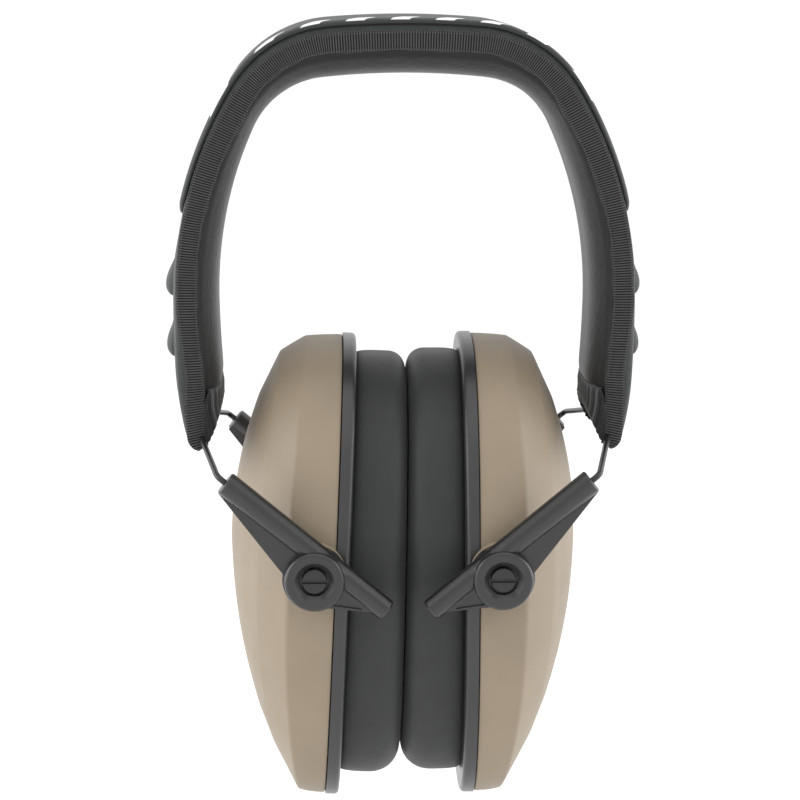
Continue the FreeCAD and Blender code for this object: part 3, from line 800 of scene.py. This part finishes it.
# ridges of the shell: distance out at top, side and bottom; top, bottom and half width; crease
SHELL_LOOPS = [
    ((3.3, 3.3, 3.3), (55.6, -54.9, 39.3), 1.0),
    ((3.4, 3.4, 3.4), (55.95, -55.25, 39.65), 0.3),
    ((8.4, 9.6, 6.8), (55.7, -55.2, 39.3), 0.0),
    ((12.0, 14.2, 9.3), (55.3, -54.6, 38.6), 0.62),
    ((14.9, 17.9, 12.2), (53.6, -49.4, 34.0), 0.0),
    ((17.9, 21.2, 15.4), (51.6, -43.8, 29.2), 0.86),
    ((20.2, 22.2, 17.2), (46.5, -39.6, 26.9), 0.0),
    ((22.6, 23.0, 19.2), (41.2, -35.2, 24.4), 0.66),
    ((25.3, 24.9, 22.2), (32.5, -26.5, 19.2), 0.0),
    ((27.0, 26.6, 25.2), (23.6, -15.2, 12.6), 0.0),
    ((27.9, 27.6, 27.2), (15.8, -2.6, 5.6), 0.0)]
SHELL_APEX = (28.1, 0.0, 7.5)
SHELL_POINTS, SHELL_WALL = 44, 2.0


def cup_world(out, y, w):
    """From the left cup's own frame (distance out, y, up) to the part's frame."""
    c, s = math.cos(CUP_TILT), math.sin(CUP_TILT)
    return (-out * c + w * s + CUP_AT[0], y, out * s + w * c + CUP_AT[2])


def egg(a, top, bottom, half_w):
    """Point (y, up) at angle a of a squarish oval that is a little wider above."""
    c, s = math.cos(a), math.sin(a)
    y = half_w * math.copysign(abs(c) ** (2 / POWER), c) * (1 + EGG * s)
    w = (top + bottom) / 2 + (top - bottom) / 2 * math.copysign(abs(s) ** (2 / POWER), s)
    return y, w


def cushion_outline(f):
    """Outline between the cushion's outer edge (0) and the ear opening (1)."""
    return tuple(o + (e - o) * f for o, e in zip(CUSHION, EAR))


def leaned(verts, side):
    """Turned about the cup's own pivot: the closed pair leans a little towards +X at the top."""
    c, s = math.cos(CUP_LEAN), math.sin(CUP_LEAN)
    v = np.array(verts, float)
    x, z = v[:, 0] - (PIVOT_X if side == "left" else -PIVOT_X), v[:, 2] - PIVOT_Z
    out = v.copy()
    out[:, 0] = v[:, 0] - x + x * c + z * s
    out[:, 2] = v[:, 2] - z - x * s + z * c
    return out


def add_sided(name, verts, faces, body, slot, **options):
    """The same piece on the left and, mirrored, on the right; returns both."""
    made = []
    replaces = options.pop("replaces", ())
    for side, v, f in both_sides(verts, faces):
        own, on = side + "_" + name, side + "_" + body
        names = tuple(side + "_" + n for n in replaces)
        made.append(piece(own, leaned(v, side), f, on, slot, replaces=names, **options))
    return made


def turned(verts, faces, profile, side, count=48):
    """Lathe a (radius, y) profile about the left cup's pivot axis and add it to verts, faces."""
    base = len(verts)
    for r, y in profile:
        for k in range(count):
            a = 2 * math.pi * k / count
            verts.append((PIVOT_X + r * math.cos(a), side * y, PIVOT_Z + r * math.sin(a)))
    faces.extend(shifted(grid_faces(len(profile), count, close_cols=True, flip=side > 0), base))


def make_shells():
    """Faceted shells with softened ridges, hollow inside, and the round pads that carry the pivots."""
    verts, creases = [], []
    n = SHELL_POINTS
    for (u_top, u_side, u_low), outline, crease in SHELL_LOOPS:
        for k in range(n):
            a = 2 * math.pi * (k + 0.5) / n
            y, w = egg(a, *outline)
            sn = math.sin(a)
            blend = abs(sn) ** 1.7
            u = u_side + ((u_top if sn > 0 else u_low) - u_side) * blend
            verts.append(cup_world(u, y, w))
        creases.append(crease)
    verts.append(cup_world(*SHELL_APEX))
    faces = grid_faces(len(SHELL_LOOPS), n, close_cols=True)
    last = (len(SHELL_LOOPS) - 1) * n
    faces += [(last + k, last + (k + 1) % n, len(verts) - 1) for k in range(n)]
    for obj in add_sided("cup_shell_faceted", verts, faces, "cup", "tan_shell", replaces=("cup_shell",)):
        layer = obj.data.attributes.new("crease_edge", "FLOAT", "EDGE")
        for edge in obj.data.edges:
            a, b = edge.vertices
            if a < last + n and b < last + n and a // n == b // n:
                layer.data[edge.index].value = creases[a // n]
        subdivide(obj, 3)
        wall = obj.modifiers.new("wall", "SOLIDIFY")
        wall.thickness = SHELL_WALL * MM
        wall.offset = -1
    pads, pad_faces = [], []
    for side in (-1, 1):
        turned(pads, pad_faces, PAD_PROFILE, side)
    add_sided("pivot_pads", pads, pad_faces, "cup", "tan_shell")


def cushion_depth(w):
    """Distance from the rim's face to the mid-plane at height w in the cup's own frame."""
    return (-CUP_AT[0] - CUSHION_GAP - w * math.sin(CUP_TILT)) / math.cos(CUP_TILT)


def make_cushions():
    """Soft ring: crowned outer wall, flat where it meets its twin, rolled into the ear opening."""
    around = 160
    span = CUSHION[0] - EAR[0]
    quarter = [k / 8 * math.pi / 2 for k in range(9)]

    def section(corner):
        """Insets from the outer edge, each with a height over the rim, or ("face", depth below the face)."""
        yield from ((0.9, 0.0), (0.5, 0.3), (0.25, 1.0), (0.08, 2.2), (0.0, 3.6), (0.0, 5.2))
        for a in quarter:
            yield corner * (1 - math.cos(a)), ("face", corner * (1 - math.sin(a)))
        yield from ((f, ("face", 0.0)) for f in (8.2, 9.6, 11.0, 12.4))
        for a in quarter:
            yield span - CUSHION_ROLL * (1 - math.sin(a)), ("face", CUSHION_ROLL * (1 - math.cos(a)))
        yield from ((span, 6.0), (span - 0.1, 3.0), (span - 0.2, 0.2), (span - 0.2, -1.4))

    rings = []
    for k in range(around):
        a = 2 * math.pi * k / around
        corner = 4.0 + 0.5 * abs(math.cos(a)) + 3.2 * max(0.0, -math.sin(a)) ** 2
        ring = []
        for d, depth in section(corner):
            y, w = egg(a, *cushion_outline(d / span))
            u = cushion_depth(w) - depth[1] if isinstance(depth, tuple) else depth
            ring.append((-u, y, w))
        rings.append(ring)
    count = len(rings[0])
    verts = [rings[k][i] for i in range(count) for k in range(around)]
    local = np.array(verts)
    soft = smooth_noise(local, 22.0, 3, 2)
    pucker = np.sin(np.arctan2(local[:, 2], local[:, 1]) * 46 + soft * 2)
    row = np.repeat(np.arange(count), around)
    near_ear = np.exp(-((row - (count - 6)) / 3.0) ** 2)
    direction = local - np.array([0, 0, 0.8])
    direction[:, 0] = 0
    direction /= np.linalg.norm(direction, axis=1)[:, None]
    wall = (row < 12).astype(float)
    local += direction * (0.10 * soft * wall + 0.10 * pucker * near_ear)[:, None]
    verts = [cup_world(*v) for v in local]
    faces = grid_faces(count, around, close_cols=True)
    for obj in add_sided("ear_cushion_skin", verts, faces, "cup", "cushion_skin", replaces=("ear_cushion",)):
        subdivide(obj, 1)


def make_inserts():
    """Thin cloth over the foam inside each cup, crowned towards the ear."""
    around, rings = 96, 16
    grown = tuple(e + math.copysign(INSERT_PAST, e) for e in EAR)
    verts = []
    for i in range(rings):
        f = i / (rings - 1) * 0.985
        outline = tuple(g + (m - g) * f for g, m in zip(grown, (0.8, 0.8, 0.0)))
        out = INSERT_OUT - INSERT_CROWN * math.sin(min(1.0, f * 1.6) * math.pi / 2)
        for k in range(around):
            a = 2 * math.pi * k / around
            y, w = egg(a, *outline)
            verts.append(cup_world(out, y, w))
    faces = grid_faces(rings, around, close_cols=True)
    faces.append(tuple(range((rings - 1) * around, rings * around)))
    uv = [(v[1], v[2]) for v in verts]
    for obj in add_sided("insert_cloth_knit", verts, faces, "cup", "insert_fabric", uv=uv, turn=False,
                         replaces=("insert_cloth", "foam_insert")):
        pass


make_shells()
make_cushions()
make_inserts()

# ---------------------------------------------------------------- camera and light
def aim(obj, target):
    """Turned to look from where it stands to the target."""
    obj.rotation_euler = (Vector(target) - obj.location).to_track_quat("-Z", "Y").to_euler()


AZIMUTH, ELEVATION = math.radians(-1.8), math.radians(9.0)
DISTANCE, LENS, SENSOR = 0.689, 129.195, 36
target = Vector((-0.0006, 0, -0.0784))
level = math.cos(ELEVATION)
back = Vector((math.sin(AZIMUTH) * level, -math.cos(AZIMUTH) * level, math.sin(ELEVATION)))
cam = bpy.data.cameras.new("camera")
cam.sensor_width = SENSOR
cam.lens = LENS
cam.clip_start, cam.clip_end = 0.01, 20
cam_obj = bpy.data.objects.new("camera", cam)
bpy.context.scene.collection.objects.link(cam_obj)
cam_obj.location = target + back * DISTANCE
aim(cam_obj, target)
bpy.context.scene.camera = cam_obj

LIGHT_AIM = (0, 0, -0.08)


def light(name, loc, size, power):
    """Rectangular soft light, its size as (across, up), turned to the middle of the part."""
    d = bpy.data.lights.new(name, "AREA")
    d.shape = "RECTANGLE"
    d.size, d.size_y = size
    d.energy = power
    o = bpy.data.objects.new(name, d)
    bpy.context.scene.collection.objects.link(o)
    o.location = loc
    o.visible_camera = False
    aim(o, LIGHT_AIM)


light("key_top", (0.0, -0.35, 0.75), (0.9, 0.9), 1.2)
light("front_left", (-0.85, -0.50, 0.05), (0.4, 1.0), 2.8)
light("front_right", (0.85, -0.50, 0.05), (0.4, 1.0), 2.2)
light("rim_left", (-0.80, 0.12, -0.10), (0.5, 1.2), 5.0)
light("rim_right", (0.80, 0.12, -0.10), (0.5, 1.2), 5.0)

world = bpy.data.worlds.new("world")
bpy.context.scene.world = world
world.use_nodes = True
world.node_tree.nodes["Background"].inputs["Color"].default_value = (1, 1, 1, 1)
world.node_tree.nodes["Background"].inputs["Strength"].default_value = 1.04

CUP_DROP, FLOOR_GAP = 0.030, 0.002       # the cups' way down at full reach, and what stays free below them
FLOOR_REACH = 9
floor_z = cad_box[0][2] - CUP_DROP - FLOOR_GAP
corners = [(x * FLOOR_REACH, y * FLOOR_REACH, floor_z) for x, y in ((-1, -1), (1, -1), (1, 1), (-1, 1))]
floor_mesh = bpy.data.meshes.new("floor")
floor_mesh.from_pydata(corners, [], [(0, 1, 2, 3)])
floor_mat, floor_shader, floor_nodes, floor_links = material("floor_paper", (0.97, 0.97, 0.97), 0.8, 0.2)
vary_color(floor_nodes, floor_links, floor_shader, (0.975, 0.975, 0.975), 0.005, 3)
floor_mesh.materials.append(floor_mat)
floor = bpy.data.objects.new("floor", floor_mesh)
bpy.context.scene.collection.objects.link(floor)

bpy.context.scene.view_settings.view_transform = "Standard"

bpy.context.view_layer.update()
